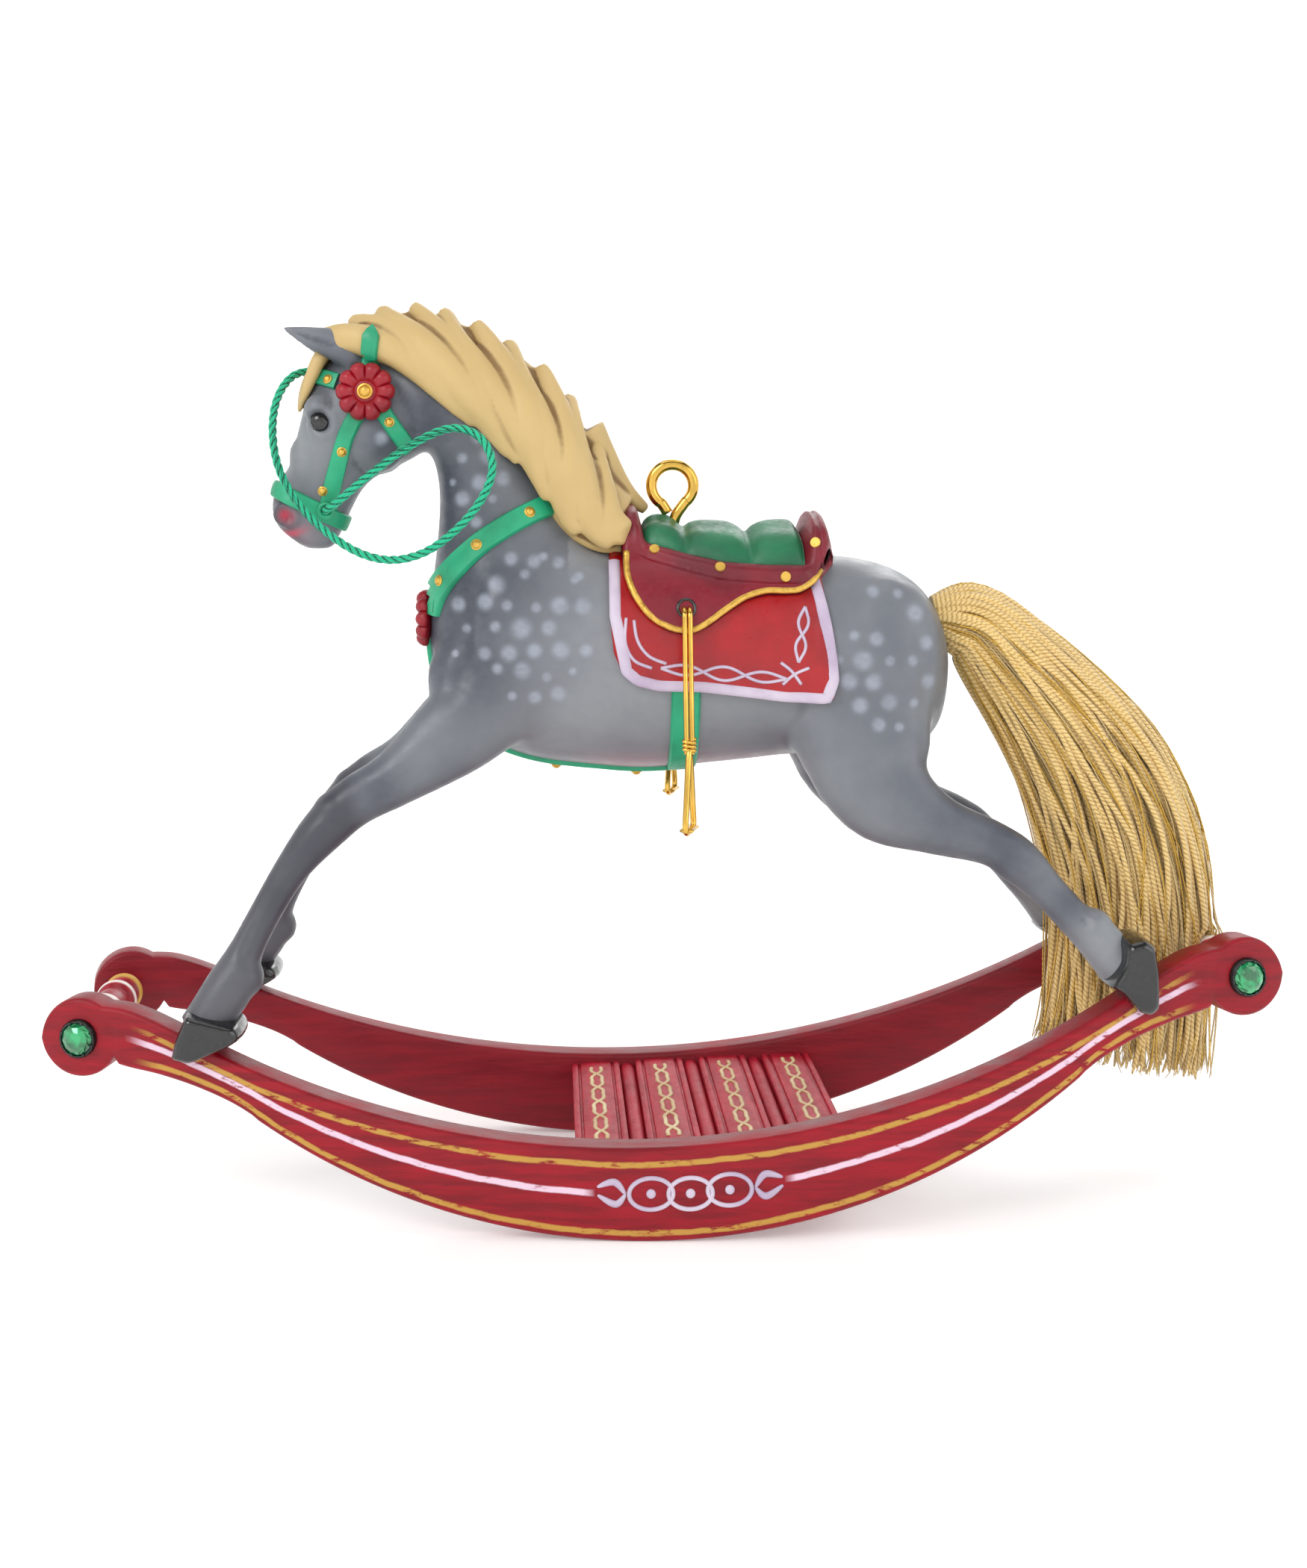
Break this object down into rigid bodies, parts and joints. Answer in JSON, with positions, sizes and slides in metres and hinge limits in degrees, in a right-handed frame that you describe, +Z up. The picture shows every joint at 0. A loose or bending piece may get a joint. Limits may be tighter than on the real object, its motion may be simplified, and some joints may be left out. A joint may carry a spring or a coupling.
{
  "type": "rocking horse",
  "caption": "Small rocking horse keepsake on bowed rockers, with saddle, bridle, cord rein, floss tail, swinging wire stirrups and a hanging eye.",
  "frame": {"origin": "on the ground under the middle of the object's box", "axes": "+X towards the tail, +Y away from the near side, +Z up"},
  "size_m": [0.1102, 0.032, 0.0838],
  "materials": {
    "rocker_red": "brushed red paint with gold lines",
    "deck_red": "rose red paint with a cream chain pattern",
    "dark_cup": "dark gloss rim",
    "green_stone": "clear faceted emerald green",
    "grey_coat": "satin dapple grey paint",
    "black_gloss": "black gloss",
    "cream_hair": "cream paint with tan shading in the grooves",
    "green_strap": "satin green paint",
    "gold_paint": "metallic gold paint",
    "rosette_red": "dark red gloss with a gold middle",
    "blanket_red": "red paint with a lilac and silver border",
    "saddle_red": "crimson satin paint",
    "seat_green": "green satin paint",
    "steel_wire": "bright plated steel wire",
    "brass_wire": "polished brass wire",
    "tail_floss": "straw blond floss with metallic gold threads",
    "green_cord": "twisted satin cord"
  },
  "bodies": {
    "horse": {"rocker_near": "rocker_red", "rocker_far": "rocker_red", "spindle_front": "rocker_red", "spindle_rear": "rocker_red", "deck_slat_1": "deck_red", "deck_slat_2": "deck_red", "deck_slat_3": "deck_red", "deck_slat_4": "deck_red", "deck_beads": "deck_red", "stone_cups": "dark_cup", "stone_near_front": "green_stone", "stone_near_rear": "green_stone", "stone_far_front": "green_stone", "stone_far_rear": "green_stone", "body_near_half": "grey_coat", "body_far_half": "grey_coat", "hoof_front_near": "black_gloss", "hoof_front_far": "black_gloss", "hoof_hind_near": "black_gloss", "hoof_hind_far": "black_gloss", "mane": "cream_hair", "forelock": "cream_hair", "eye_near": "black_gloss", "eye_far": "black_gloss", "bridle": "green_strap", "bridle_studs": "gold_paint", "rosette_near": "rosette_red", "rosette_far": "rosette_red", "rosette_chest": "rosette_red", "breast_collar": "green_strap", "collar_studs": "gold_paint", "belly_strap": "green_strap", "girth": "green_strap", "strap_studs": "gold_paint", "blanket": "blanket_red", "saddle": "saddle_red", "saddle_piping_near": "gold_paint", "saddle_piping_far": "gold_paint", "saddle_studs": "gold_paint", "seat_cushion": "seat_green", "eye_screw": "steel_wire", "tail_floss": "tail_floss", "rein_cord": "green_cord"},
    "stirrup_near": {"stirrup_near": "brass_wire"},
    "stirrup_far": {"stirrup_far": "brass_wire"}
  },
  "joints": [
    {"name": "stirrup_near_swing", "type": "hinge", "parent": "horse", "child": "stirrup_near", "pos_m": [0.0025, -0.0085, 0.0543], "axis": [0, 1, 0], "range_deg": [-50, 50]},
    {"name": "stirrup_far_swing", "type": "hinge", "parent": "horse", "child": "stirrup_far", "pos_m": [0.0025, 0.0085, 0.0543], "axis": [0, 1, 0], "range_deg": [-50, 50]}
  ]
}
